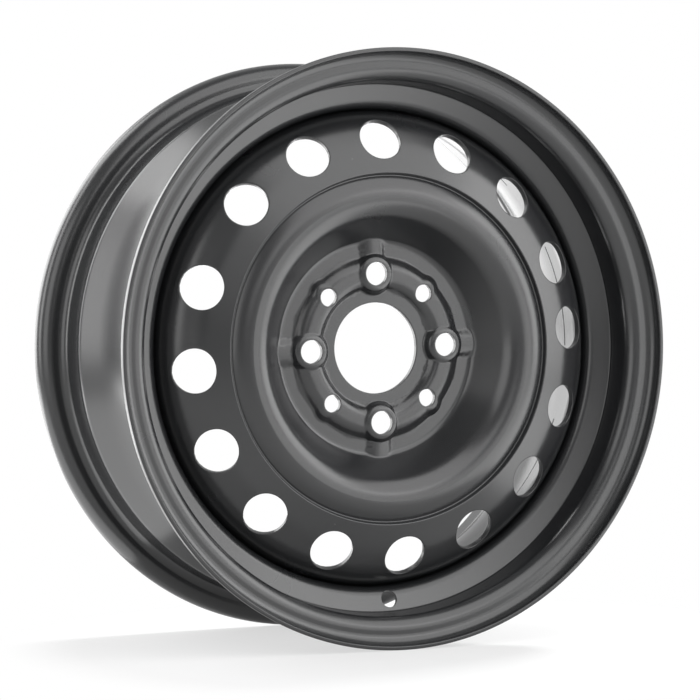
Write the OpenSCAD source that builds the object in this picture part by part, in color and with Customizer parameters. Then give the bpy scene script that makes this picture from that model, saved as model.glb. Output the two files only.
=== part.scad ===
/* [Rim] */
// Diameter of the bead seats, where the tyre sits
bead_d = 354.8; // [340:0.1:380]
// Width between the flanges at the bead seats
rim_w = 139.7; // [127:0.1:165]
// Thickness of the rolled rim sheet
rim_t = 2.6; // [2:0.1:3.2]
// Height of a flange over its bead seat
flange_h = 17.3; // [16:0.1:20]
// Reach of a flange lip beyond its bead seat
flange_reach = 12.05; // [10.5:0.05:15]
// Bend of the flange lip, on the tyre side
flange_bend = 9.5; // [7:0.1:10]
// Bend at the heel of the bead seat, on the tyre side
heel_bend = 6.5; // [4:0.1:7]
// Taper of the bead seats in degrees
seat_taper = 5; // [3:0.5:7]
// Length of a bead seat up to the crest of its hump
seat_len = 23.4; // [21:0.1:26]
// Rise of the safety hump over the bead seat
hump_h = 1.4; // [0.6:0.1:2]
// Length of the foot of the safety hump
hump_len = 4; // [3:0.1:6]
// Depth of the well below the bead seats
well_depth = 17.5; // [15:0.1:20]
// Slope of the well's side walls in degrees
well_slope = 71; // [60:1:78]
// Bend at the foot of the well's side walls
well_bend = 6; // [4:0.1:9]
// Diameter of the valve hole
valve_d = 11.3; // [9:0.1:13]
// Distance of the valve hole from the well, along its wall
valve_up = 6.6; // [6.4:0.1:8.5]

/* [Disc] */
// Thickness of the pressed disc sheet
disc_t = 3.6; // [3:0.1:4]
// Offset of the mounting face from the middle of the rim
face_offset = 35; // [30:0.5:40]
// Diameter of the hub bore
bore_d = 60; // [54:0.1:66]
// Radius where the flat hub face meets the bowl's wall
bowl_r = 70.6; // [69:0.1:73]
// Bend at the foot of the bowl
bowl_bend = 5; // [3:0.1:7]
// Slope of the bowl's wall in degrees
bowl_slope = 53.8; // [50:0.1:58]
// Height of the crown over the mounting face
crown_h = 30.4; // [27:0.1:33]
// Bend of the crown on the bowl's side
crown_bend_in = 18.5; // [14:0.1:20]
// Bend of the crown on the vents' side
crown_bend_out = 20.5; // [16:0.1:21]
// Slope of the crown on the vents' side in degrees
crown_slope = 35; // [30:0.5:36]
// Flat between the crown's two bends
crown_flat = 0.1; // [0.1:0.1:3]
// Run of the crown's slope from its bend's corner to the groove
groove_run = 5.8; // [5.4:0.1:8]
// Run from the groove to the edge where the vent ring starts
ridge_run = 2.7; // [2.3:0.1:4]
// Rise of that edge over the groove
ridge_h = 2.4; // [1.5:0.1:3]
// Bend of the groove and of the edge
ridge_bend = 0.9; // [0.5:0.1:1.2]
// Slope of the vent ring inside the vents in degrees
vent_slope_in = 17.5; // [14:0.5:20]
// Slope of the vent ring at the vents in degrees
vent_slope_out = 28; // [24:0.5:32]
// Distance of the change of slope from the ring of vents, towards the hub
vent_fold_in = 4.6; // [2:0.1:8]
// Bend where the vent ring's slope changes
vent_fold_bend = 30; // [10:1:50]
// Bend of the shoulder that leads into the disc's skirt
shoulder_bend = 26; // [20:0.5:28]
// Reach of the skirt behind the mounting face
skirt_reach = 15; // [13:0.5:20]
// Clearance between the skirt and the rim
skirt_gap = 0.05; // [0:0.01:0.1]

/* [Hub] */
// Bolt circle diameter
bolt_circle_d = 98; // [96:0.1:100]
// Number of wheel bolts
bolt_count = 4; // [4:1:4]
// Diameter of the bolt holes
bolt_d = 15.3; // [13:0.1:16]
// Included angle of the bolts' cone seats in degrees
seat_cone = 60; // [50:1:70]
// Depth of the bolts' cone seats
seat_deep = 1; // [0.6:0.1:1.6]
// Diameter of the guide pin holes
pin_d = 11.5; // [9:0.1:13]
// Rise of the bolt ring over the flat hub face
ring_rise = 4.2; // [3.5:0.1:5]
// Radius of the bolt ring's top at its inner edge
ring_r_in = 41.9; // [41:0.1:43]
// Radius of the bolt ring's top at its outer edge
ring_r_out = 56; // [55:0.1:57]
// Slope of the bolt ring's inner side in degrees
ring_slope_in = 60; // [52:1:66]
// Slope of the bolt ring's outer side in degrees
ring_slope_out = 46; // [42:1:54]
// Bend along the bolt ring's inner edge
ring_bend_in = 8; // [5:0.1:9]
// Bend along the bolt ring's outer edge
ring_bend_out = 11; // [6:0.1:12]
// Rise of a bolt boss over the bolt ring, at its hole
boss_rise = 1.5; // [1.2:0.1:2.4]
// Radius of a bolt boss at the edge of its top
boss_r = 11.3; // [10.6:0.1:12]
// Fall of a bolt boss's top towards its edge in degrees
boss_lean = 13; // [6:1:16]
// Slope of a bolt boss's side in degrees
boss_slope = 60; // [56:1:68]
// Bend along the edge of a bolt boss
boss_bend = 2.5; // [1:0.1:3]
// Distance of the bulge at a guide pin hole outside the bolt circle
pin_pad_out = 3; // [2:0.1:4]
// Radius of the bulge at a guide pin hole, at its top
pin_pad_r = 6.4; // [6:0.1:7.2]
// Bend along the edge of that bulge
pin_pad_bend = 5; // [2:0.1:6]
// Drop of that bulge below the top of the bolt ring
pin_pad_drop = 0.4; // [0.2:0.1:1]
// Rise of the bridge that leads from a bolt boss to the bowl, over the flat hub face
bridge_rise = 1.6; // [1:0.1:2.4]
// Half width of that bridge at its top
bridge_half = 7.4; // [6.6:0.1:8]
// Fall of the bridge's top towards its edges in degrees
bridge_lean = 8; // [4:1:12]
// Slope of the bridge's sides in degrees
bridge_slope = 55; // [48:1:62]
// Bend along the edges of the bridge
bridge_bend = 2.5; // [1:0.1:3]
// Bend along the crest of the bridge
bridge_crest = 25; // [5:1:30]
// Turn of the hub pattern and the valve about the axle in degrees, as the wheel stands
hub_turn = -2.26; // [-45:0.01:45]

/* [Vents] */
// Diameter of the round vents
vent_d = 28.7; // [24:0.1:31]
// Distance of the ring of vents from the middle of its band, outwards
vent_shift = 0.7; // [-1:0.1:2]
// Number of vents
vent_count = 16; // [12:1:16]
// Angle of the first vent in degrees, clockwise from the top
vent_start = 84.5; // [0:0.1:360]
// Number of vents in the punch's first pass
vent_first_pass = 10; // [1:1:12]
// Turn of the second pass in degrees
vent_pass_turn = 3.45; // [0:0.05:4]

/* [Welds] */
// Number of weld beads between the skirt and the rim
weld_count = 8; // [4:1:10]
// Arc of one weld bead in degrees
weld_arc = 26; // [10:1:32]
// Leg of a weld bead
weld_leg = 4; // [3:0.1:5]

/* [Hidden] */
$fn = 96;
arc_error = 0.03;
paint = "#2b2c2e";
weld_paint = "#333436";
bead_r = bead_d/2;
flange_r = bead_r + flange_h;
seat_y = rim_w/2;
edge_y = seat_y + flange_reach;
hump_y = seat_y - seat_len;
well_r = bead_r - well_depth;
disc_r = well_r - rim_t - skirt_gap;
face_y = -face_offset;
ring_h = disc_t + ring_rise;
boss_h = ring_h + boss_rise;
bolt_r = bolt_circle_d/2;

function unit(v) = v/norm(v);
function turn(a, b) = a[0]*b[1] - a[1]*b[0];
function left(v) = [-v[1], v[0]];
function xy(p) = [p[0], p[1]];
function bend(p) = len(p) > 2 ? p[2] : 0;

// A bend of radius r at corner p, between its neighbours a and b
function corner(a, p, b, r) =
    let (u = unit(a - p), v = unit(b - p), half = acos(u*v)/2,
         c = p + unit(u + v)*r/sin(half), s = p + u*r/tan(half) - c,
         sweep = sign(turn(-u, v))*(180 - 2*half), step = 2*acos(1 - arc_error/max(r, arc_error)),
         n = max(1, ceil(abs(sweep)/step)))
    r == 0 ? [p] : [for (i = [0:n]) let (k = sweep*i/n)
        c + [s[0]*cos(k) - s[1]*sin(k), s[0]*sin(k) + s[1]*cos(k)]];

// The line through a path's corners, each rounded by its own bend
function rounded(path) = let (n = len(path) - 1)
    concat([xy(path[0])],
           [for (i = [1:n - 1])
               each corner(xy(path[i - 1]), xy(path[i]), xy(path[i + 1]), bend(path[i]))],
           [xy(path[n])]);

// The same path a sheet's thickness t to its left, with bends about the same centres
function beside(path, t) = let (n = len(path) - 1)
    [for (i = [0:n]) let (
        a = i > 0 ? unit(xy(path[i]) - xy(path[i - 1])) : unit(xy(path[1]) - xy(path[0])),
        b = i < n ? unit(xy(path[i + 1]) - xy(path[i])) : a,
        p = xy(path[i]) + (left(a) + left(b))*t/(1 + a*b))
        [p[0], p[1], bend(path[i]) == 0 ? 0 : max(0, bend(path[i]) - sign(turn(a, b))*t)]];

function backwards(list) = [for (i = [len(list) - 1:-1:0]) list[i]];
function mirrored(path) = [for (p = backwards(path)) [p[0], -p[1], bend(p)]];

// A profile of [radius, height over y] turned about the axle
module spun(y = 0, arc = 360) {
    translate([0, y, 0]) rotate([-90, 0, 0]) rotate_extrude(angle = arc) children();
}

// A copy turned about the axle to a clock angle, from a shape made at the top
module at_clock(angle) {
    rotate([0, angle, 0]) children();
}

// Rim: one sheet rolled to a drop-centre section, the same on both sides of the middle
seat_end = bead_r - (seat_len - hump_len)*tan(seat_taper);
hump_r = seat_end + hump_h;
foot_of_wall = hump_y - (hump_r - well_r)/tan(well_slope);
half_section = [
    [flange_r, edge_y],
    [flange_r, seat_y, flange_bend],
    [bead_r, seat_y, heel_bend],
    [seat_end, hump_y + hump_len, hump_len],
    [hump_r, hump_y, hump_len],
    [well_r, foot_of_wall, well_bend]];
wheel_section = concat(half_section, mirrored(half_section));

module valve_hole() {
    foot_y = -foot_of_wall;
    at_clock(180 + hub_turn)
        translate([0, foot_y, well_r]) rotate([90 - well_slope, 0, 0])
            translate([0, 0, valve_up]) rotate([90, 0, 0]) cylinder(d = valve_d, h = 8*rim_t, center = true);
}

module rim() {
    color(paint) difference() {
        spun() polygon(concat(rounded(wheel_section), backwards(rounded(beside(wheel_section, -rim_t)))));
        valve_hole();
    }
}

// Disc: one pressed sheet, drawn as all that lies behind its front face less the same form a
// sheet's thickness further back. Heights run forward from the mounting face.
crown_in = bowl_r + (crown_h - disc_t)/tan(bowl_slope);
crown_out = crown_in + crown_bend_in*tan(bowl_slope/2) + crown_bend_out*tan(crown_slope/2) + crown_flat;
groove_r = crown_out + groove_run;
groove_h = crown_h - groove_run*tan(crown_slope);
ridge_r = groove_r + ridge_run;
vent_r = (ridge_r + disc_r)/2 + vent_shift;
vent_fold_r = vent_r - vent_fold_in;
fold_h = groove_h + ridge_h - (vent_fold_r - ridge_r)*tan(vent_slope_in);
shoulder_h = fold_h - (disc_r - vent_fold_r)*tan(vent_slope_out);
vent_h = fold_h - (vent_r - vent_fold_r)*tan(vent_slope_out);
disc_face = [
    [bore_d/2, disc_t],
    [bowl_r, disc_t, bowl_bend],
    [crown_in, crown_h, crown_bend_in],
    [crown_out, crown_h, crown_bend_out],
    [groove_r, groove_h, ridge_bend],
    [ridge_r, groove_h + ridge_h, ridge_bend],
    [vent_fold_r, fold_h, vent_fold_bend],
    [disc_r, shoulder_h, shoulder_bend],
    [disc_r, -skirt_reach]];

// Half of a raised form: its edge at height h and its side, which slopes to the mounting face
function raised(half, h, slope, edge) = [[half, h, edge], [half + h/tan(slope), 0]];
function across(path) = [for (p = backwards(path)) [-p[0], p[1], bend(p)]];

// A round form on an axis at radius r, its top falling by lean, set back into the sheet by set
module heap(r, half, h, slope, edge, set, lean = 0) {
    side = raised(half, h, slope, edge);
    peak = h + half*tan(lean);
    middle = lean == 0 ? [] : [[0, peak]];
    path = rounded(beside(concat(across(side), middle, side), -set));
    line = [for (q = path) if (q[0] > arc_error) q];
    translate([0, 0, r]) rotate([90, 0, 0]) rotate_extrude()
        polygon(concat([[0, line[len(line) - 1][1]], [0, peak - set/cos(lean)]], line));
}

// A straight form that leads from a bolt out to the bowl
module bridge(set) {
    h = disc_t + bridge_rise;
    side = raised(bridge_half, h, bridge_slope, bridge_bend);
    crest = [[0, h + bridge_half*tan(bridge_lean), bridge_crest]];
    translate([0, 0, bolt_r]) linear_extrude(bowl_r - bolt_r + ring_h)
        mirror([0, 1]) polygon(rounded(beside(concat(across(side), crest, side), -set)));
}

module hub_forms(set) {
    ring = concat(across(raised(-ring_r_in, ring_h, ring_slope_in, ring_bend_in)),
                  raised(ring_r_out, ring_h, ring_slope_out, ring_bend_out));
    edge_h = boss_h - (boss_r - bolt_d/2)*tan(boss_lean);
    spun() mirror([0, 1]) polygon(rounded(beside(ring, -set)));
    for (i = [0:bolt_count - 1]) at_clock(hub_turn + i*360/bolt_count) {
        heap(bolt_r, boss_r, edge_h, boss_slope, boss_bend, set, boss_lean);
        at_clock(180/bolt_count)
            heap(bolt_r + pin_pad_out, pin_pad_r, ring_h - pin_pad_drop, ring_slope_out, pin_pad_bend, set);
        bridge(set);
    }
}

module behind_face(set) {
    face = rounded(beside(disc_face, -set));
    inner = bore_d/2 - set;
    end = -skirt_reach - set;
    spun() mirror([0, 1])
        polygon(concat([[inner, face[0][1]]], face, [[face[len(face) - 1][0], end], [inner, end]]));
    hub_forms(set);
}

module hub_holes() {
    for (i = [0:bolt_count - 1]) at_clock(hub_turn + i*360/bolt_count) {
        translate([0, -boss_h, bolt_r]) rotate([-90, 0, 0]) {
            cylinder(d = bolt_d, h = 2*boss_h, center = true);
            cylinder(d1 = bolt_d + 2*seat_deep*tan(seat_cone/2), d2 = bolt_d, h = seat_deep);
        }
        at_clock(180/bolt_count) translate([0, 0, bolt_r]) rotate([90, 0, 0])
            cylinder(d = pin_d, h = 4*ring_h, center = true);
    }
}

module vents() {
    for (i = [0:vent_count - 1])
        at_clock(vent_start + i*360/vent_count + (i < vent_first_pass ? 0 : vent_pass_turn))
        translate([0, -vent_h, vent_r]) rotate([90 - vent_slope_out, 0, 0])
            cylinder(d = vent_d, h = 4*disc_t, center = true);
}

module disc() {
    color(paint) translate([0, face_y, 0]) difference() {
        behind_face(0);
        behind_face(disc_t);
        hub_holes();
        vents();
    }
}

// Welds: beads in the corner between the skirt's end and the rim's well
module disc_welds() {
    end_y = face_y + skirt_reach;
    well_in = well_r - rim_t;
    color(weld_paint) for (i = [0:weld_count - 1]) at_clock(i*360/weld_count)
        spun(end_y, weld_arc) polygon([[well_in, 0], [well_in - weld_leg, 0], [well_in, weld_leg]]);
}

rim();
disc();
disc_welds();
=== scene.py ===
import math
import bpy
import bmesh
import numpy as np
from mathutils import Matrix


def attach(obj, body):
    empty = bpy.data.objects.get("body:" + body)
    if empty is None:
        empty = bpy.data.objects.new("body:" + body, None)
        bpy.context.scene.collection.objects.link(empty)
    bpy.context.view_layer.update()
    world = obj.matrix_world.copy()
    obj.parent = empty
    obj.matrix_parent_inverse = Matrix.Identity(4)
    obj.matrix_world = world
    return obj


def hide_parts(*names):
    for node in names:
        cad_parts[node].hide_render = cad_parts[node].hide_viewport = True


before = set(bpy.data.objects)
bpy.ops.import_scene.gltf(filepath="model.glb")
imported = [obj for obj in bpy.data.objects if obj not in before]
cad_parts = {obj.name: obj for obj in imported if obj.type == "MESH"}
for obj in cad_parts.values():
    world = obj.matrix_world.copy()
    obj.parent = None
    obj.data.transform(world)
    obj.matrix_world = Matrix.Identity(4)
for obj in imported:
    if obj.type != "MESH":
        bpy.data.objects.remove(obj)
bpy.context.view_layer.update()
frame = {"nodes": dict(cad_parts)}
mm = 0.001
print("frame loaded:", ", ".join(frame["nodes"]))


def hexLinear(code):
    parts = [int(code[i:i + 2], 16) / 255 for i in (1, 3, 5)]
    return [c / 12.92 if c <= 0.04045 else ((c + 0.055) / 1.055) ** 2.4 for c in parts] + [1.0]


# adds a node: values go to its sockets, links come from other sockets, the rest are its settings
def addNode(tree, kind, values=None, links=None, **settings):
    node = tree.nodes.new(kind)
    for name, value in settings.items():
        setattr(node, name, value)
    for key, value in (values or {}).items():
        node.inputs[key].default_value = value
    for key, source in (links or {}).items():
        tree.links.new(source, node.inputs[key])
    return node


def emptyTree(owner):
    owner.use_nodes = True
    owner.node_tree.nodes.clear()
    return owner.node_tree


def linkObject(name, data):
    made = bpy.data.objects.new(name, data)
    bpy.context.scene.collection.objects.link(made)
    return made


def tanDeg(angle):
    return math.tan(math.radians(angle))


def sinDeg(angle):
    return math.sin(math.radians(angle))


def cosDeg(angle):
    return math.cos(math.radians(angle))


# Materials

# the paint's own patterns, in millimetres; dustShare is the share of cells with a grain
paintSizes = {"filmPatch": 45.4545, "dustCell": 13.3333, "grainIn": 0.16, "grainOut": 0.4,
              "dustShare": 0.07, "peelWave": 2.38095, "peelDeep": 0.04}


# black electrocoat on steel: a smooth dark film, semi-gloss, faint orange peel, a little dust
def electrocoat(name, film, peel, rough):
    p = paintSizes
    mat = bpy.data.materials.new(name)
    tree = emptyTree(mat)
    place = addNode(tree, "ShaderNodeTexCoord").outputs["Object"]
    # patches of thicker and thinner film
    patch = {"Scale": 1 / (p["filmPatch"] * mm), "Detail": 3.0, "Roughness": 0.5}
    cloud = addNode(tree, "ShaderNodeTexNoise", patch, {"Vector": place}).outputs["Fac"]
    tone = addNode(tree, "ShaderNodeMix", {6: hexLinear(film[0]), 7: hexLinear(film[1])},
                   {"Factor": cloud}, data_type="RGBA")
    # most cells stay clean, the others hold one grain of dust, drawn coarse so that it shows
    cell = {"Scale": 1 / (p["dustCell"] * mm), "Randomness": 1.0}
    dust = addNode(tree, "ShaderNodeTexVoronoi", cell, {"Vector": place})
    fade = {"From Min": p["grainIn"] / p["dustCell"], "From Max": p["grainOut"] / p["dustCell"],
            "To Min": 1.0, "To Max": 0.0}
    grain = addNode(tree, "ShaderNodeMapRange", fade, {"Value": dust.outputs["Distance"]})
    pick = addNode(tree, "ShaderNodeSeparateColor", links={"Color": dust.outputs["Color"]})
    few = addNode(tree, "ShaderNodeMath", {1: 1 - p["dustShare"]}, {0: pick.outputs["Red"]},
                  operation="GREATER_THAN")
    speck = addNode(tree, "ShaderNodeMath", links={0: grain.outputs["Result"], 1: few.outputs[0]},
                    operation="MULTIPLY")
    dusty = addNode(tree, "ShaderNodeMix", {7: hexLinear("#8d8d8b")},
                    {"Factor": speck.outputs[0], 6: tone.outputs[2]}, data_type="RGBA")
    sheen = addNode(tree, "ShaderNodeMapRange", {"To Min": rough[0], "To Max": rough[1]}, {"Value": cloud})
    wave = addNode(tree, "ShaderNodeTexNoise", {"Scale": 1 / (p["peelWave"] * mm), "Detail": 1.0},
                   {"Vector": place})
    bump = addNode(tree, "ShaderNodeBump", {"Strength": peel, "Distance": p["peelDeep"] * mm},
                   {"Height": wave.outputs["Fac"]})
    shader = addNode(tree, "ShaderNodeBsdfPrincipled", {"IOR": 1.52, "Specular IOR Level": 1.0},
                     {"Base Color": dusty.outputs[2], "Roughness": sheen.outputs["Result"],
                      "Normal": bump.outputs["Normal"]})
    addNode(tree, "ShaderNodeOutputMaterial", links={"Surface": shader.outputs["BSDF"]})
    return mat


discPaint = electrocoat("disc black electrocoat", ("#232425", "#27282a"), 0.25, (0.24, 0.29))
rimPaint = electrocoat("rim black electrocoat", ("#222324", "#262729"), 0.25, (0.24, 0.29))
weldPaint = electrocoat("electrocoat over weld", ("#1b1b1c", "#232323"), 0.6, (0.34, 0.46))
print("materials made")


# Sheet lines: corners are [across, along, bend], in millimetres

# the points of one rounded corner, a point for each step of degrees
def bendAt(before, corner, after, radius, step=6.0):
    u, v = before - corner, after - corner
    u, v = u / np.linalg.norm(u), v / np.linalg.norm(v)
    half = math.acos(max(-1.0, min(1.0, float(u @ v)))) / 2
    sweep = math.pi - 2 * half
    n = max(2, math.ceil(math.degrees(sweep) / step))
    centre = corner + (u + v) / np.linalg.norm(u + v) * radius / math.sin(half)
    arm = corner + u * radius / math.tan(half) - centre
    side = math.copysign(1.0, -u[0] * v[1] + u[1] * v[0])
    turns = side * sweep * np.arange(n + 1) / n
    return centre + np.stack([arm[0] * np.cos(turns) - arm[1] * np.sin(turns),
                              arm[0] * np.sin(turns) + arm[1] * np.cos(turns)], 1)


# the same path, moved sideways by gap; no bend gets tighter than least
def besidePath(path, gap, least=0.3):
    pts = np.array([p[:2] for p in path], float)
    run = np.diff(pts, axis=0)
    run /= np.linalg.norm(run, axis=1)[:, None]
    out = []
    for i, p in enumerate(pts):
        a, b = run[max(i - 1, 0)], run[min(i, len(run) - 1)]
        q = p + (np.array([-a[1], a[0]]) + np.array([-b[1], b[0]])) * gap / (1 + a @ b)
        bend = path[i][2]
        inward = np.sign(a[0] * b[1] - a[1] * b[0])
        out.append([q[0], q[1], max(least, bend - inward * gap) if bend else 0])
    return out


# the rounded line of an open path, as one list of points for each corner
def bentLine(path):
    pts = [np.array(p[:2], float) for p in path]
    parts = [pts[0][None]]
    for i in range(1, len(pts) - 1):
        parts.append(bendAt(pts[i - 1], pts[i], pts[i + 1], path[i][2]))
    return parts + [pts[-1][None]]


def closedLine(path):
    pts = [np.array(p[:2], float) for p in path]
    n = len(pts)
    return np.concatenate([bendAt(pts[i - 1], pts[i], pts[(i + 1) % n], path[i][2]) for i in range(n)])


# Geometry Nodes trees

# gives a tree its named inputs and its output; returns the inputs' identifiers
def treeInputs(tree, kinds):
    ids = {}
    for name, kind in kinds.items():
        socket = tree.interface.new_socket(name=name, in_out="INPUT", socket_type="NodeSocket" + kind)
        ids[name] = socket.identifier
    tree.interface.new_socket(name="Geometry", in_out="OUTPUT", socket_type="NodeSocketGeometry")
    return ids


# every tree ends in real geometry with its paint on
def endTree(tree, shape, paint):
    solid = addNode(tree, "GeometryNodeRealizeInstances", links={"Geometry": shape})
    coated = addNode(tree, "GeometryNodeSetMaterial",
                     links={"Geometry": solid.outputs["Geometry"], "Material": paint})
    addNode(tree, "NodeGroupOutput", links={"Geometry": coated.outputs["Geometry"]})


# runs a tree with the given inputs and keeps the result as a plain mesh object
def settle(name, tree, ids, values):
    holder = linkObject(name + "Holder", bpy.data.meshes.new(name + "Holder"))
    mod = holder.modifiers.new(name, "NODES")
    mod.node_group = tree
    for key, value in values.items():
        mod[ids[key]] = value
    bpy.context.view_layer.update()
    seen = holder.evaluated_get(bpy.context.evaluated_depsgraph_get())
    mesh = bpy.data.meshes.new_from_object(seen)
    holder.modifiers.clear()
    bpy.data.objects.remove(holder)
    mesh.name = name
    return linkObject(name, mesh)


# smooth faces, with an edge kept only where the sheet really turns sharply
def finishMesh(piece, merge, sharp):
    bm = bmesh.new()
    bm.from_mesh(piece.data)
    bmesh.ops.remove_doubles(bm, verts=bm.verts, dist=merge)
    bmesh.ops.recalc_face_normals(bm, faces=bm.faces)
    for face in bm.faces:
        face.smooth = True
    for edge in bm.edges:
        edge.smooth = not (edge.is_manifold and edge.calc_face_angle(0) > math.radians(sharp))
    bm.to_mesh(piece.data)
    bm.free()


# Rim: a rolled section carried round a circle

rimSizes = {"beadR": 177.4, "seatY": 69.85, "sheet": 2.6, "flangeH": 17.3, "reach": 12.05, "lipBend": 9.5,
            "heelBend": 6.5, "taper": 5.0, "seatLen": 23.4, "humpLen": 4.0, "humpH": 1.4, "wellDepth": 17.5,
            "wellSlope": 71.0, "wellBend": 6.0, "rearSlope": 26.0, "rearBend": 90.0, "rearHump": 8.0,
            "cutEdge": 0.7, "segments": 288, "valveD": 11.3, "valveUp": 6.6, "valveSides": 64,
            "drillLen": 24.0, "turn": -2.26}


# the front half, from the flange's edge to the foot of the well's wall
def rimHalf(s):
    flangeR, edgeY = s["beadR"] + s["flangeH"], s["seatY"] + s["reach"]
    humpY = s["seatY"] - s["seatLen"]
    seatEnd = s["beadR"] - (s["seatLen"] - s["humpLen"]) * tanDeg(s["taper"])
    humpR, wellR = seatEnd + s["humpH"], s["beadR"] - s["wellDepth"]
    foot = humpY - (humpR - wellR) / tanDeg(s["wellSlope"])
    return [[flangeR, -edgeY, s["cutEdge"]],
            [flangeR, -s["seatY"], s["lipBend"]],
            [s["beadR"], -s["seatY"], s["heelBend"]],
            [seatEnd, -humpY - s["humpLen"], s["humpLen"]],
            [humpR, -humpY, s["humpLen"]],
            [wellR, -foot, s["wellBend"]]]


def rimSection(s):
    front = rimHalf(s)
    rear = [[p[0], -p[1], p[2]] for p in reversed(front)]
    # the well's rear wall is a long easy slope, as the photograph shows it
    rise = rear[1][0] - rear[0][0]
    rear[1][2] = s["rearHump"]
    rear[0] = [rear[0][0], rear[1][1] - rise / tanDeg(s["rearSlope"]), s["rearBend"]]
    path = front + rear
    under = besidePath(path, s["sheet"])
    under[0][2] = under[-1][2] = s["cutEdge"]
    return closedLine(path + under[::-1])


def sectionCurve(name, points):
    curve = bpy.data.curves.new(name, "CURVE")
    curve.dimensions = "2D"
    line = curve.splines.new("POLY")
    line.points.add(len(points) - 1)
    flat, weight = np.zeros((len(points), 1)), np.ones((len(points), 1))
    line.points.foreach_set("co", np.concatenate([points * mm, flat, weight], 1).ravel())
    line.use_cyclic_u = True
    return linkObject(name, curve)


# the middle of the valve hole, halfway through the well's front wall, and the way it is drilled
def valveHole(s):
    slope = math.radians(90 - s["wellSlope"])
    along = np.array([math.cos(slope), -math.sin(slope)])  # up the well's front wall
    tyreSide = np.array([-along[1], along[0]])
    r, y = np.array(rimHalf(s)[-1][:2]) + along * s["valveUp"] - tyreSide * s["sheet"] / 2
    clock = math.radians(180 + s["turn"])
    place = (r * math.sin(clock) * mm, y * mm, r * math.cos(clock) * mm)
    return place, (math.pi / 2 + slope, clock, 0)


def buildRim(s):
    outline = sectionCurve("rimSection", rimSection(s) - [s["beadR"], 0])
    tree = bpy.data.node_groups.new("rolledRim", "GeometryNodeTree")
    ids = treeInputs(tree, {"Section": "Object", "Radius": "Float", "Segments": "Int",
                            "Valve Hole Radius": "Float", "Valve Place": "Vector", "Valve Aim": "Vector",
                            "Paint": "Material"})
    given = tree.nodes.new("NodeGroupInput").outputs
    shape = addNode(tree, "GeometryNodeObjectInfo", links={"Object": given["Section"]})
    hoop = addNode(tree, "GeometryNodeCurvePrimitiveCircle",
                   links={"Resolution": given["Segments"], "Radius": given["Radius"]})
    rolled = addNode(tree, "GeometryNodeCurveToMesh",
                     links={"Curve": hoop.outputs["Curve"], "Profile Curve": shape.outputs["Geometry"]})
    upright = addNode(tree, "GeometryNodeTransform", {"Rotation": (math.pi / 2, 0, 0)},
                      {"Geometry": rolled.outputs["Mesh"]})
    drill = addNode(tree, "GeometryNodeMeshCylinder",
                    {"Vertices": s["valveSides"], "Depth": s["drillLen"] * mm},
                    {"Radius": given["Valve Hole Radius"]})
    placed = addNode(tree, "GeometryNodeTransform",
                     links={"Geometry": drill.outputs["Mesh"], "Translation": given["Valve Place"],
                            "Rotation": given["Valve Aim"]})
    cut = addNode(tree, "GeometryNodeMeshBoolean",
                  links={"Mesh 1": upright.outputs["Geometry"], "Mesh 2": placed.outputs["Geometry"]},
                  operation="DIFFERENCE", solver="EXACT")
    endTree(tree, cut.outputs["Mesh"], given["Paint"])
    place, aim = valveHole(s)
    piece = settle("rolledRim", tree, ids, {
        "Section": outline, "Radius": s["beadR"] * mm, "Segments": s["segments"],
        "Valve Hole Radius": s["valveD"] / 2 * mm, "Valve Place": place, "Valve Aim": aim, "Paint": rimPaint})
    bpy.data.objects.remove(outline)
    return piece


rim = buildRim(rimSizes)
finishMesh(rim, merge=0.002 * mm, sharp=40)
print("rim rolled:", len(rim.data.polygons), "faces")


# Disc: one pressed sheet, its front and back worked out as heights over the mounting face

discSizes = {"faceY": -35.0, "sheet": 3.6, "boreR": 30.0, "bowlR": 70.6, "bowlBend": 5.0, "bowlSlope": 53.8,
             "crownH": 30.4, "crownIn": 18.5, "crownOut": 20.5, "crownSlope": 35.0, "crownFlat": 0.1,
             "grooveRun": 7.0, "ridgeRun": 1.5, "ridgeH": 3.24, "ridgeBend": 0.7, "slopeIn": 17.5,
             "slopeOut": 28.0, "foldIn": 4.6, "foldBend": 30.0, "shoulder": 26.0, "skirtReach": 15.0,
             "discR": 157.25, "ventShift": 0.7, "cutEdge": 0.5}
hubSizes = {"turn": -2.26, "boltR": 49.0, "holeR": 7.65, "pinR": 5.75, "ringRise": 4.2, "ringIn": 41.9,
            "ringOut": 56.0, "ringMiddle": 48.5, "slopeIn": 60.0, "slopeOut": 46.0, "bendIn": 8.0,
            "bendOut": 11.0, "bossRise": 1.5, "bossR": 11.3, "bossLean": 13.0, "bossSlope": 60.0,
            "bossBend": 2.5, "padAt": 52.0, "padR": 6.4, "padBend": 5.0, "padDrop": 0.4, "bridgeRise": 1.6,
            "bridge": 7.4, "bridgeLean": 8.0, "bridgeSlope": 55.0, "bridgeBend": 2.5, "bridgeEnd": 15.0,
            "crest": 2.5, "seatDeep": 0.6, "seatCone": 60.0, "seatLip": 0.25, "seatBlend": 0.4,
            "blend": 0.9, "foot": 0.5}
ventSizes = {"count": 16, "radius": 14.35, "start": 84.5, "secondFrom": 10, "secondTurn": 3.45}
# how the sheet is divided: columns go round the disc, 28 for each hub hole and 14 for each vent
gridSizes = {"columns": 224, "hubIn": 33.2, "hubOut": 66.5, "hubRing": 14.6, "hubRings": 11, "hubUp": 20,
             "hubSteps": 8, "boreLand": 0.4, "bowlRows": 24, "swingIn": 76.0, "swingOut": 104.0,
             "ventGap": 3.2, "ventLean": 0.2, "ventRing": 0.5, "ventUp": 14, "ventSteps": 7,
             "shoulderAt": 50.0, "formReach": 40.0}


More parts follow.
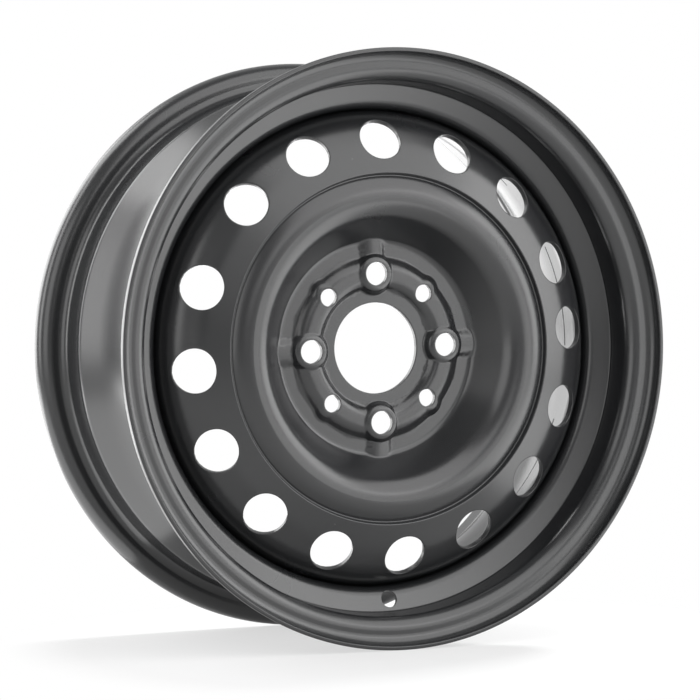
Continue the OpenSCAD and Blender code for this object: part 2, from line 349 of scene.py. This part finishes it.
# the front face from the bore to the skirt's end, and the radius that the vents lie on
def discPath(s):
    crownIn = s["bowlR"] + (s["crownH"] - s["sheet"]) / tanDeg(s["bowlSlope"])
    crownOut = crownIn + s["crownIn"] * tanDeg(s["bowlSlope"] / 2)
    crownOut += s["crownOut"] * tanDeg(s["crownSlope"] / 2)
    crownOut += s["crownFlat"]
    grooveR = crownOut + s["grooveRun"]
    grooveH = s["crownH"] - s["grooveRun"] * tanDeg(s["crownSlope"])
    ridgeR = grooveR + s["ridgeRun"]
    ventR = (ridgeR + s["discR"]) / 2 + s["ventShift"]
    foldR = ventR - s["foldIn"]
    foldH = grooveH + s["ridgeH"] - (foldR - ridgeR) * tanDeg(s["slopeIn"])
    shoulderH = foldH - (s["discR"] - foldR) * tanDeg(s["slopeOut"])
    return ventR, [[s["boreR"], s["sheet"], 0],
                   [s["bowlR"], s["sheet"], s["bowlBend"]],
                   [crownIn, s["crownH"], s["crownIn"]],
                   [crownOut, s["crownH"], s["crownOut"]],
                   [grooveR, grooveH, s["ridgeBend"]],
                   [ridgeR, grooveH + s["ridgeH"], s["ridgeBend"]],
                   [foldR, foldH, s["foldBend"]],
                   [s["discR"], shoulderH, s["shoulder"]],
                   [s["discR"], -s["skirtReach"], 0]]


ventR, facePath = discPath(discSizes)
sheetParts = {gap: bentLine(besidePath(facePath, -gap)) for gap in (0, discSizes["sheet"])}
discLines = {gap: np.concatenate(parts) for gap, parts in sheetParts.items()}


def softMax(a, b, k):
    return np.maximum(a, b) + np.maximum(k - np.abs(a - b), 0) ** 2 / (4 * k)


# half of a raised form as a line of [distance, height], set into the sheet by gap
# its top falls outwards by lean
def formLine(half, height, slope, bend, gap, lean=0.0):
    reach = gridSizes["formReach"]
    path = [[half - reach, height + reach * tanDeg(lean), 0], [half, height, bend],
            [half + reach, height - reach * tanDeg(slope), 0]]
    return np.concatenate(bentLine(besidePath(path, -gap)))


def overLine(distance, line):
    return np.interp(distance, line[:, 0], line[:, 1])


# the raised bolt ring with its pin pads and bolt bosses
def ringHeight(r, fromPin, reach, gap):
    h = hubSizes
    top = discSizes["sheet"] + h["ringRise"]
    inner = formLine(h["ringMiddle"] - h["ringIn"], top, h["slopeIn"], h["bendIn"], gap)
    outer = formLine(h["ringOut"] - h["ringMiddle"], top, h["slopeOut"], h["bendOut"], gap)
    ring = np.minimum(overLine(h["ringMiddle"] - r, inner), overLine(r - h["ringMiddle"], outer))
    padReach = np.hypot(r * np.sin(fromPin), r * np.cos(fromPin) - h["padAt"])
    pad = overLine(padReach, formLine(h["padR"], top - h["padDrop"], h["slopeOut"], h["padBend"], gap))
    edgeH = top + h["bossRise"] - (h["bossR"] - h["holeR"]) * tanDeg(h["bossLean"])
    boss = overLine(reach, formLine(h["bossR"], edgeH, h["bossSlope"], h["bossBend"], gap, h["bossLean"]))
    return softMax(softMax(ring, pad, h["blend"]), boss, h["blend"])


# height of the front face (gap 0) or the back face (gap = sheet) at plan points x, z
def pressHeight(x, z, gap):
    s, h = discSizes, hubSizes
    r = np.hypot(x, z)
    clock = np.degrees(np.arctan2(x, z)) - h["turn"]
    fromBolt = np.radians((clock + 45) % 90 - 45)
    fromPin = np.radians(clock % 90 - 45)
    u, v = r * np.sin(fromBolt), r * np.cos(fromBolt)
    reach = np.hypot(u, v - h["boltR"])
    # the bridge is slightly round across and runs out into the bowl's wall
    across = formLine(h["bridge"], s["sheet"] + h["bridgeRise"], h["bridgeSlope"], h["bridgeBend"], gap,
                      h["bridgeLean"])
    onBridge = (v > h["boltR"]) & (r < s["bowlR"] + h["bridgeEnd"])
    bridge = np.where(onBridge, overLine(np.hypot(u, h["crest"]), across), -gridSizes["formReach"])
    plain = softMax(overLine(r, discLines[gap]), bridge, h["foot"])
    height = softMax(plain, ringHeight(r, fromPin, reach, gap), h["foot"])
    if gap == 0:
        top = s["sheet"] + h["ringRise"] + h["bossRise"]
        seat = top - h["seatDeep"] + (reach - h["holeR"]) / tanDeg(h["seatCone"] / 2)
        height = np.where(reach < h["bossR"], -softMax(-height, -seat, h["seatBlend"]), height)
    return height


class SheetMesh:
    def __init__(self):
        self.points, self.quads, self.count = [], [], 0

    # rows of points joined by quads, each row closed on itself
    def addRows(self, rows):
        rows = np.asarray(rows)
        n, m = rows.shape[:2]
        at = self.count + np.arange(n * m).reshape(n, m)
        a, b = at[:-1], at[1:]
        self.quads.append(np.stack([a, np.roll(a, -1, 1), np.roll(b, -1, 1), b], -1).reshape(-1, 4))
        self.points.append(rows.reshape(-1, 3))
        self.count += n * m


def onPlan(x, z, height):
    return np.stack([x, discSizes["faceY"] - height, z], -1)


def roundRows(line, angles):
    a = np.radians(angles)[None]
    r, h = line[:, :1], line[:, 1:]
    return onPlan(r * np.sin(a), r * np.cos(a), h + 0 * a)


# plan points from a hole's edge out to the border of its sector; the sheet leans back by slope there
def sectorPlan(first, last, rIn, rOut, across, up, hole, slope, radii, steps):
    t = np.arange(across) / across
    q = np.arange(up) / up
    angle = np.radians(np.concatenate([first + (last - first) * t, np.full(up, last),
                                       last + (first - last) * t, np.full(up, first)]))
    r = np.concatenate([np.full(across, rIn), rIn + (rOut - rIn) * q,
                        np.full(across, rOut), rOut + (rIn - rOut) * q])
    turn, holeR = np.radians(hole[0]), hole[1]
    tilt = cosDeg(slope)
    side = r * np.sin(angle - turn)
    out = r * np.cos(angle - turn) - holeR
    aim = np.arctan2(out / tilt, side)
    rows = [(radius * np.cos(aim), radius * tilt * np.sin(aim)) for radius in radii]
    edge = rows[-1]
    for k in np.linspace(0, 1, steps + 1)[1:]:
        rows.append((edge[0] + (side - edge[0]) * k, edge[1] + (out - edge[1]) * k))
    u = np.array([row[0] for row in rows])
    v = np.array([row[1] for row in rows]) + holeR
    x, z = u * math.cos(turn) + v * math.sin(turn), v * math.cos(turn) - u * math.sin(turn)
    return x, z, aim, turn


# from a hole's edge towards its middle
def towardsHole(aim, turn, slope):
    u, v, depth = np.cos(aim), np.sin(aim) * cosDeg(slope), np.sin(aim) * sinDeg(slope)
    x, z = u * math.cos(turn) + v * math.sin(turn), v * math.cos(turn) - u * math.sin(turn)
    return -np.stack([x, depth, z], -1)


# the wall of a hole, with its two edges rounded, between the front and back loops
def holeWall(front, back, inwards, edge, steps=3):
    axis = back.mean(0) - front.mean(0)
    axis /= np.linalg.norm(axis)
    turns = np.radians(np.linspace(0, 90, steps + 1))[:, None, None]
    ahead = front + inwards * edge * np.sin(turns) + axis * edge * (1 - np.cos(turns))
    behind = back + inwards * edge * np.sin(turns) - axis * edge * (1 - np.cos(turns))
    return np.concatenate([ahead, behind[::-1]])


# columns round the disc, clockwise from the top: the hub's are even, the vents' follow the vents
columns = gridSizes["columns"]
hubHoles = 8
hubSector = 360 / hubHoles
hubStart = hubSizes["turn"] - hubSector / 2
hubAngles = hubStart + np.arange(columns) * 360 / columns
order = np.arange(ventSizes["count"])
vents = ventSizes["start"] + order * 360 / ventSizes["count"]
vents += np.where(order >= ventSizes["secondFrom"], ventSizes["secondTurn"], 0)
# vent sectors meet halfway between neighbouring vents
limits = np.concatenate([[(vents[0] + vents[-1] - 360) / 2], (vents[1:] + vents[:-1]) / 2,
                         [(vents[0] + 360 + vents[-1]) / 2]])
perVent = columns // ventSizes["count"]
ventAngles = np.concatenate([np.linspace(limits[i], limits[i + 1], perVent, endpoint=False) for i in order])
shift = round((ventAngles[0] - hubStart) * columns / 360)
matched = hubStart + (np.arange(columns) + shift) * 360 / columns
quarter = np.radians(np.linspace(0, 90, 4))


# where the vent sectors begin, just outside the ridge
def ventStart(gap):
    g = gridSizes
    return sheetParts[gap][5][-1][0] + g["ventGap"] - g["ventLean"] * gap * sinDeg(discSizes["slopeIn"])


# the end of the shoulder's bend, which the vent sectors leave to the skirt
def shoulderEnd(gap):
    bend = sheetParts[gap][7]
    turned = np.linspace(discSizes["slopeOut"], 90, len(bend))
    return bend[np.searchsorted(turned, gridSizes["shoulderAt"]):]


# hub: bolt and pin holes in turn
def hubSectors(sheet, loops, gap):
    h, g = hubSizes, gridSizes
    for i in range(hubHoles):
        bolt = i % 2 == 0
        holeR = h["holeR"] if bolt else h["pinR"]
        lip = h["seatLip"] if bolt else discSizes["cutEdge"]
        first = hubStart + hubSector * i
        hole = (first + hubSector / 2, h["boltR"])
        rings = np.linspace(holeR + lip, g["hubRing"], g["hubRings"])
        x, z, aim, turn = sectorPlan(first, first + hubSector, g["hubIn"], g["hubOut"], columns // hubHoles,
                                     g["hubUp"], hole, 0.0, rings, g["hubSteps"])
        points = onPlan(x, z, pressHeight(x, z, gap))
        sheet.addRows(points)
        loops.setdefault(("hub", i), []).append((points[0], towardsHole(aim, turn, 0.0), lip))


# from the bowl over the crown to the ridge, where the columns swing over to the vents'
def crownRows(sheet, gap):
    g, parts = gridSizes, sheetParts[gap]
    bowl = np.linspace(g["hubOut"], parts[2][0][0], g["bowlRows"])[:-1]
    land = np.linspace(parts[5][-1][0], ventStart(gap), 4)[1:]
    radii = np.concatenate([bowl] + [part[:, 0] for part in parts[2:6]] + [land])[:, None]
    swing = np.clip((radii - g["swingIn"]) / (g["swingOut"] - g["swingIn"]), 0, 1)
    angles = np.radians(matched * (1 - swing) + ventAngles * swing)
    x, z = radii * np.sin(angles), radii * np.cos(angles)
    sheet.addRows(onPlan(x, z, pressHeight(x, z, gap)))


def ventSectors(sheet, loops, gap):
    s, w, g = discSizes, ventSizes, gridSizes
    edgeR = w["radius"] + s["cutEdge"]
    rings = [edgeR, edgeR + g["ventRing"]]
    middleR = ventR - gap * sinDeg(s["slopeOut"])
    rIn, rOut = ventStart(gap), shoulderEnd(gap)[0][0]
    for i in range(w["count"]):
        x, z, aim, turn = sectorPlan(limits[i], limits[i + 1], rIn, rOut, perVent, g["ventUp"],
                                     (vents[i], middleR), s["slopeOut"], rings, g["ventSteps"])
        points = onPlan(x, z, pressHeight(x, z, gap))
        sheet.addRows(points)
        inwards = towardsHole(aim, turn, s["slopeOut"])
        loops.setdefault(("vent", i), []).append((points[0], inwards, s["cutEdge"]))


# shoulder and skirt: front line, round the cut end, back line
def skirtRows(sheet):
    s = discSizes
    edge = s["cutEdge"]
    outer, inner, end = s["discR"] - edge, s["discR"] - s["sheet"] + edge, edge - s["skirtReach"]
    line = np.concatenate([shoulderEnd(0),
                           np.stack([outer + edge * np.cos(quarter), end - edge * np.sin(quarter)], 1),
                           np.stack([inner - edge * np.sin(quarter), end - edge * np.cos(quarter)], 1),
                           shoulderEnd(s["sheet"])[::-1]])
    sheet.addRows(roundRows(line, ventAngles))


# hub bore with rounded edges
def boreRows(sheet):
    s, g = discSizes, gridSizes
    edge, top, r = s["cutEdge"], s["sheet"], s["boreR"] + s["cutEdge"]
    land = r + g["boreLand"]
    line = np.concatenate([[[g["hubIn"], top], [land, top]],
                           np.stack([r - edge * np.sin(quarter), top - edge + edge * np.cos(quarter)], 1),
                           np.stack([r - edge * np.cos(quarter), edge - edge * np.sin(quarter)], 1),
                           [[land, 0], [g["hubIn"], 0]]])
    sheet.addRows(roundRows(line, hubAngles))


def buildDisc():
    sheet, loops = SheetMesh(), {}
    for gap in sheetParts:
        hubSectors(sheet, loops, gap)
        crownRows(sheet, gap)
        ventSectors(sheet, loops, gap)
    skirtRows(sheet)
    boreRows(sheet)
    for front, back in loops.values():
        sheet.addRows(holeWall(front[0], back[0], front[1], front[2]))
    mesh = bpy.data.meshes.new("pressedDisc")
    mesh.from_pydata((np.concatenate(sheet.points) * mm).tolist(), [], np.concatenate(sheet.quads).tolist())
    mesh.materials.append(discPaint)
    return linkObject("pressedDisc", mesh)


disc = buildDisc()
finishMesh(disc, merge=0.01 * mm, sharp=50)
print("disc pressed:", len(disc.data.polygons), "faces")


# Weld beads: short arcs of rippled fillet where the skirt ends in the well

weldSizes = {"count": 8, "arc": 26.0, "radius": 155.6, "y": -18.3, "leg": 3.0, "ripple": 0.35, "pitch": 1.6,
             "seed": 4.0, "arcPoints": 64, "sides": 12}


def buildWelds(s):
    tree = bpy.data.node_groups.new("weldBeads", "GeometryNodeTree")
    ids = treeInputs(tree, {"Count": "Int", "Arc": "Float", "Radius": "Float", "Bead Radius": "Float",
                            "Ripple": "Float", "Ripple Scale": "Float", "Place": "Vector", "Seed": "Float",
                            "Paint": "Material"})
    given = tree.nodes.new("NodeGroupInput").outputs
    arc = addNode(tree, "GeometryNodeCurveArc", {"Resolution": s["arcPoints"]},
                  {"Radius": given["Radius"], "Sweep Angle": given["Arc"]})
    section = addNode(tree, "GeometryNodeCurvePrimitiveCircle", {"Resolution": s["sides"]},
                      {"Radius": given["Bead Radius"]})
    bead = addNode(tree, "GeometryNodeCurveToMesh", {"Fill Caps": True},
                   {"Curve": arc.outputs["Curve"], "Profile Curve": section.outputs["Curve"]})
    # ripples push the bead's skin in and out
    wave = addNode(tree, "ShaderNodeTexNoise", {"Detail": 1.0},
                   {"Scale": given["Ripple Scale"], "W": given["Seed"]}, noise_dimensions="4D")
    level = addNode(tree, "ShaderNodeMath", {1: 0.5}, {0: wave.outputs["Fac"]}, operation="SUBTRACT")
    lift = addNode(tree, "ShaderNodeMath", links={0: level.outputs[0], 1: given["Ripple"]},
                   operation="MULTIPLY")
    facing = addNode(tree, "GeometryNodeInputNormal")
    push = addNode(tree, "ShaderNodeVectorMath",
                   links={0: facing.outputs["Normal"], "Scale": lift.outputs[0]}, operation="SCALE")
    rough = addNode(tree, "GeometryNodeSetPosition",
                    links={"Geometry": bead.outputs["Mesh"], "Offset": push.outputs["Vector"]})
    # the beads stand evenly round the axle
    dots = addNode(tree, "GeometryNodePoints", links={"Count": given["Count"]})
    index = addNode(tree, "GeometryNodeInputIndex")
    turn = addNode(tree, "ShaderNodeMath", {1: 2 * math.pi}, {0: index.outputs["Index"]},
                   operation="MULTIPLY")
    share = addNode(tree, "ShaderNodeMath", links={0: turn.outputs[0], 1: given["Count"]}, operation="DIVIDE")
    spin = addNode(tree, "ShaderNodeCombineXYZ", links={"Z": share.outputs[0]})
    ring = addNode(tree, "GeometryNodeInstanceOnPoints",
                   links={"Points": dots.outputs[0], "Instance": rough.outputs["Geometry"],
                          "Rotation": spin.outputs["Vector"]})
    upright = addNode(tree, "GeometryNodeTransform", {"Rotation": (math.pi / 2, 0, 0)},
                      {"Geometry": ring.outputs["Instances"], "Translation": given["Place"]})
    endTree(tree, upright.outputs["Geometry"], given["Paint"])
    return settle("weldBeads", tree, ids, {
        "Count": s["count"], "Arc": math.radians(s["arc"]), "Radius": s["radius"] * mm,
        "Bead Radius": s["leg"] / 2 * mm, "Ripple": s["ripple"] * 2 * mm,
        "Ripple Scale": 1 / (s["pitch"] * mm), "Place": (0, s["y"] * mm, 0), "Seed": s["seed"],
        "Paint": weldPaint})


welds = buildWelds(weldSizes)
finishMesh(welds, merge=0.002 * mm, sharp=70)
print("welds laid:", len(welds.data.polygons), "faces")

pieces = ((rim, "rim", "rim_paint"), (disc, "disc", "disc_paint"), (welds, "disc_welds", "weld_paint"))
for piece, node, slotName in pieces:
    soft = piece.modifiers.new("weighted", "WEIGHTED_NORMAL")
    soft.keep_sharp = True
    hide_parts(node)
    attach(piece, "root")


# Studio: pale floor and backdrop, soft lamps, the photograph's camera; places in metres

studio = {"floorZ": -0.1947, "floorHalf": 6.0, "camera": (-0.8546, -1.7876, 0.0425), "azimuth": -25.54,
          "elevation": 1.289, "focal": 2955.0, "picture": 700, "sensor": 36.0, "clipEnd": 50.0,
          "room": 0.3, "backdrop": 0.7, "backdropFrom": 0.6,
          "paperLift": 0.62, "paperGloss": 0.3, "fibre": 1.1111, "shadowAt": (0.03, -0.06, 0),
          "shadowR": 0.225, "whiteR": 0.285}
white = (1, 1, 1, 1)

# soft boxes look at the wheel: place, size and power
softBoxes = {"rightBox": ((1.6, -0.34, 0.42), (1.75, 1.2), 17),
             "frontRightBox": ((0.87, -1.44, 0.25), (0.85, 0.95), 3.8),
             "topFrontBox": ((0.52, -1.16, 1.27), (1.9, 1.9), 17),
             "frontLeftBox": ((-0.18, -1.75, 0.37), (0.5, 0.45), 0.5),
             "leftBox": ((-1.39, -0.91, 0.42), (1.0, 1.2), 5),
             "sideLeftBox": ((-1.65, 0.37, 0.64), (0.6, 1.75), 9),
             "backLeftBox": ((-0.85, 1.75, 0.65), (1.3, 1.9), 24),
             "highLeftBox": ((-0.89, 0.63, 1.56), (0.9, 0.8), 7)}
# panels lie just over the floor and look up
floorPanels = {"leftPanel": ((-0.39, 0.27, -0.18), (0.5, 0.5), 0.9),
               "backPanel": ((-0.1, 0.9, -0.18), (1.4, 1.0), 13),
               "rightPanel": ((0.7, -0.45, -0.18), (0.9, 0.9), 4)}
# from the right and a little behind, for the shadow that falls to the front left
keyLamp = ((1.5, 0.6, 1.3), (0.4, 0.4), 48)


def areaLamp(name, place, target, size, power):
    lamp = bpy.data.lights.new(name, "AREA")
    lamp.shape = "RECTANGLE"
    lamp.size, lamp.size_y = size
    lamp.energy = power
    made = linkObject(name, lamp)
    made.location = place
    made.visible_camera = False
    aim = np.array(target) - np.array(place)
    flat = math.hypot(aim[0], aim[1])
    made.rotation_euler = (math.atan2(flat, -aim[2]), 0, math.atan2(-aim[0], aim[1]))
    return made


# the camera sees white; the paint sees a pale backdrop behind the wheel and a dim room in front of it
def whiteStudio():
    world = bpy.data.worlds.new("whiteStudio")
    bpy.context.scene.world = world
    tree = emptyTree(world)
    ray = addNode(tree, "ShaderNodeLightPath").outputs
    way = addNode(tree, "ShaderNodeTexCoord").outputs["Generated"]
    split = addNode(tree, "ShaderNodeSeparateXYZ", links={"Vector": way})
    span = {"From Min": 0.0, "From Max": studio["backdropFrom"], "To Min": studio["room"],
            "To Max": studio["backdrop"]}
    room = addNode(tree, "ShaderNodeMapRange", span, {"Value": split.outputs["Y"]},
                   interpolation_type="SMOOTHSTEP")
    seen = addNode(tree, "ShaderNodeMix", {3: 1.0}, {0: ray["Is Camera Ray"], 2: room.outputs["Result"]})
    sky = addNode(tree, "ShaderNodeBackground", {"Color": white}, {"Strength": seen.outputs[0]})
    addNode(tree, "ShaderNodeOutputWorld", links={"Surface": sky.outputs["Background"]})


# grey paper that the camera sees lifted to white
# it keeps the wheel's shadow nearby and is plain white further off
def paperFloor():
    half = studio["floorHalf"]
    mesh = bpy.data.meshes.new("studioFloor")
    corners = [(-half, -half, 0), (half, -half, 0), (half, half, 0), (-half, half, 0)]
    mesh.from_pydata(corners, [], [(0, 1, 2, 3)])
    made = linkObject("studioFloor", mesh)
    made.location = (0, 0, studio["floorZ"])
    mat = bpy.data.materials.new("white paper floor")
    tree = emptyTree(mat)
    place = addNode(tree, "ShaderNodeTexCoord").outputs["Object"]
    ray = addNode(tree, "ShaderNodeLightPath").outputs
    far = addNode(tree, "ShaderNodeVectorMath", {1: studio["shadowAt"]}, {0: place}, operation="DISTANCE")
    away = addNode(tree, "ShaderNodeMapRange", {"From Min": studio["shadowR"], "From Max": studio["whiteR"]},
                   {"Value": far.outputs["Value"]}, interpolation_type="SMOOTHSTEP")
    fibre = addNode(tree, "ShaderNodeTexNoise", {"Scale": 1 / (studio["fibre"] * mm), "Detail": 2.0},
                    {"Vector": place})
    tone = addNode(tree, "ShaderNodeMix", {6: hexLinear("#8a8a8a"), 7: hexLinear("#909090")},
                   {"Factor": fibre.outputs["Fac"]}, data_type="RGBA")
    paper = addNode(tree, "ShaderNodeBsdfPrincipled", {"Roughness": 0.95, "Specular IOR Level": 0.0},
                    {"Base Color": tone.outputs[2]})
    lift = addNode(tree, "ShaderNodeEmission", {"Color": white, "Strength": studio["paperLift"]})
    near = addNode(tree, "ShaderNodeAddShader", links={0: paper.outputs[0], 1: lift.outputs[0]})
    plain = addNode(tree, "ShaderNodeEmission", {"Color": white, "Strength": 1.0})
    seen = addNode(tree, "ShaderNodeMixShader",
                   links={0: away.outputs["Result"], 1: near.outputs[0], 2: plain.outputs[0]})
    # the paint's own reflections see a little of the white paper too
    gloss = addNode(tree, "ShaderNodeMath", {1: studio["paperGloss"]}, {0: ray["Is Glossy Ray"]},
                    operation="MULTIPLY")
    glow = addNode(tree, "ShaderNodeEmission", {"Color": white}, {"Strength": gloss.outputs[0]})
    unseen = addNode(tree, "ShaderNodeAddShader", links={0: paper.outputs[0], 1: glow.outputs[0]})
    final = addNode(tree, "ShaderNodeMixShader",
                    links={0: ray["Is Camera Ray"], 1: unseen.outputs[0], 2: seen.outputs[0]})
    addNode(tree, "ShaderNodeOutputMaterial", links={"Surface": final.outputs[0]})
    mesh.materials.append(mat)


def placeCamera():
    camera = linkObject("camera", bpy.data.cameras.new("camera"))
    camera.data.sensor_width = studio["sensor"]
    camera.data.lens = studio["focal"] / studio["picture"] * studio["sensor"]
    camera.data.clip_end = studio["clipEnd"]
    camera.location = studio["camera"]
    camera.rotation_euler = (math.radians(90 - studio["elevation"]), 0, math.radians(studio["azimuth"]))
    bpy.context.scene.camera = camera


whiteStudio()
paperFloor()
for name, (place, size, power) in softBoxes.items():
    areaLamp(name, place, (0, 0, 0), size, power)
for name, (place, size, power) in floorPanels.items():
    areaLamp(name, place, (place[0], place[1], 1), size, power)
areaLamp("keyLamp", keyLamp[0], (0, 0, 0), keyLamp[1], keyLamp[2]).visible_glossy = False
placeCamera()
bpy.context.scene.view_settings.view_transform = "Standard"
print("studio set")
